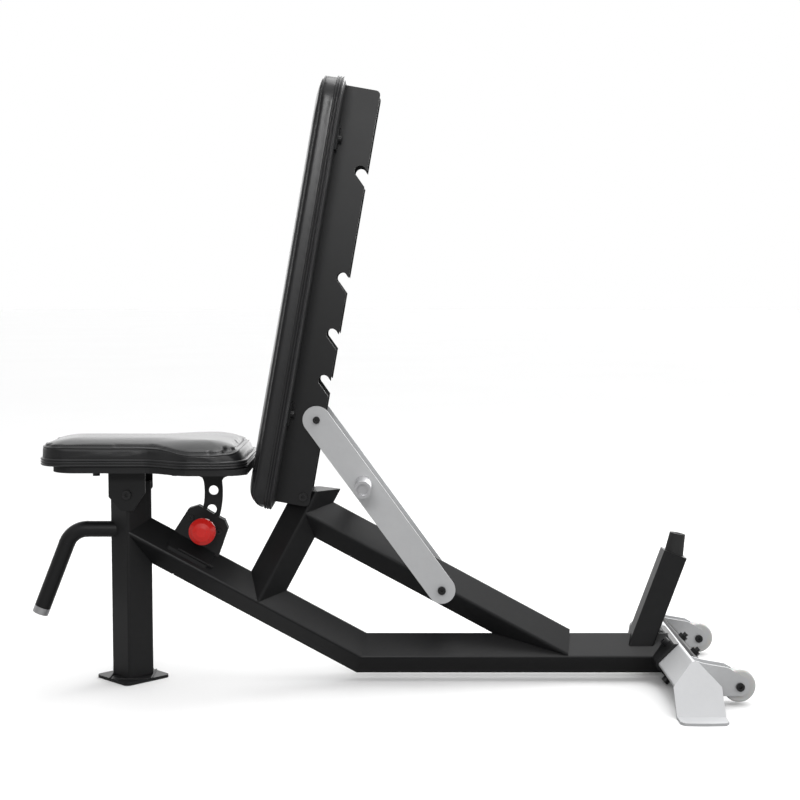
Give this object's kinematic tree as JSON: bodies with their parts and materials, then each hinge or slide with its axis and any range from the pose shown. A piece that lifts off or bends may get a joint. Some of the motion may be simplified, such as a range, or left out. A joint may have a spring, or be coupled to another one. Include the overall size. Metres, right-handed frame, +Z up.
{
  "type": "adjustable weight bench",
  "caption": "Adjustable weight bench: padded seat and reclining notched backrest on a square-tube frame, with a support link, lock pin, front handle, rear foot and transport wheels.",
  "frame": {"origin": "middle of the bench's length and width, on the floor", "axes": "+X along the bench to the rear wheels, +Y across it to the side away from the lock pin, +Z up"},
  "size_m": [1.4017, 0.688, 1.1837],
  "materials": {
    "black_steel": "satin powder coat",
    "silver_steel": "satin silver powder coat",
    "black_bolt": "black oxide",
    "bright_steel": "zinc plated",
    "black_vinyl": "smooth vinyl with a soft sheen",
    "pad_board": "black fabric backing",
    "black_rubber": "matte",
    "red_plastic": "semi gloss",
    "wheel_plastic": "milky, smooth"
  },
  "bodies": {
    "frame": {"front_post": "black_steel", "front_base_plate": "black_steel", "front_handle": "black_steel", "handle_end_cap": "silver_steel", "lower_slope_tube": "black_steel", "base_rail": "black_steel", "riser_tube": "black_steel", "riser_cap": "black_steel", "upper_slope_tube": "black_steel", "seat_pivot_sleeve": "black_steel", "back_pivot_sleeve": "black_steel", "link_pivot_sleeve": "black_steel", "adjuster_plate_near": "black_steel", "adjuster_plate_far": "black_steel", "adjuster_screws": "black_bolt", "pin_barrel": "black_steel", "pin_spring": "bright_steel", "bumper_post": "black_steel", "bumper_post_cap": "black_steel", "rubber_bumper": "black_rubber", "rear_crossbar": "silver_steel", "crossbar_saddle": "black_steel", "wheel_carrier_plate": "black_steel", "crossbar_bolts": "black_bolt", "foot_near": "silver_steel", "foot_far": "silver_steel", "wheel_fork_near": "silver_steel", "wheel_fork_far": "silver_steel", "axle_bolt_near": "black_bolt", "axle_bolt_far": "black_bolt"},
    "backrest": {"back_cushion": "black_vinyl", "back_board": "pad_board", "ladder_near": "black_steel", "ladder_far": "black_steel", "back_tabs": "black_steel", "stop_plate": "black_steel", "back_screws": "black_bolt", "back_pivot_bolt": "black_bolt"},
    "support_link": {"link_near": "silver_steel", "link_far": "silver_steel", "catch_rod": "black_steel", "rod_bolts": "black_bolt", "link_grip": "silver_steel", "link_pivot_bolt": "black_bolt"},
    "seat": {"seat_cushion": "black_vinyl", "seat_board": "pad_board", "seat_bracket": "black_steel", "adjuster_strap": "black_steel", "seat_screws": "black_bolt", "seat_pivot_bolt": "black_bolt"},
    "lock_pin": {"plunger_pin": "bright_steel", "pin_knob": "red_plastic"},
    "wheel_near": {"wheel_near": "wheel_plastic", "wheel_bush_near": "bright_steel"},
    "wheel_far": {"wheel_far": "wheel_plastic", "wheel_bush_far": "bright_steel"}
  },
  "joints": [
    {"name": "backrest_recline", "type": "hinge", "parent": "frame", "child": "backrest", "pos_m": [-0.155, 0, 0.371], "axis": [0, 1, 0], "range_deg": [0, 80]},
    {"name": "link_swing", "type": "hinge", "parent": "frame", "child": "support_link", "pos_m": [0.117, 0, 0.187], "axis": [0, 1, 0], "range_deg": [0, 100.36]},
    {"name": "seat_tilt", "type": "hinge", "parent": "frame", "child": "seat", "pos_m": [-0.501, 0, 0.375], "axis": [0, 1, 0], "range_deg": [0, 26.6]},
    {"name": "lock_pin_pull", "type": "slide", "parent": "frame", "child": "lock_pin", "axis": [0, -1, 0], "range_m": [0, 0.012], "stiffness_N_per_m": 1200, "springref_m": -0.004, "deforming": ["pin_spring"]},
    {"name": "wheel_near_spin", "type": "hinge", "parent": "frame", "child": "wheel_near", "pos_m": [0.67, -0.195, 0.037], "axis": [0, 1, 0], "continuous": true},
    {"name": "wheel_far_spin", "type": "hinge", "parent": "frame", "child": "wheel_far", "pos_m": [0.67, 0.195, 0.037], "axis": [0, 1, 0], "continuous": true}
  ],
  "couplings": [
    {"joint": "link_swing", "follows": "backrest_recline", "ratio": 1.2483}
  ]
}
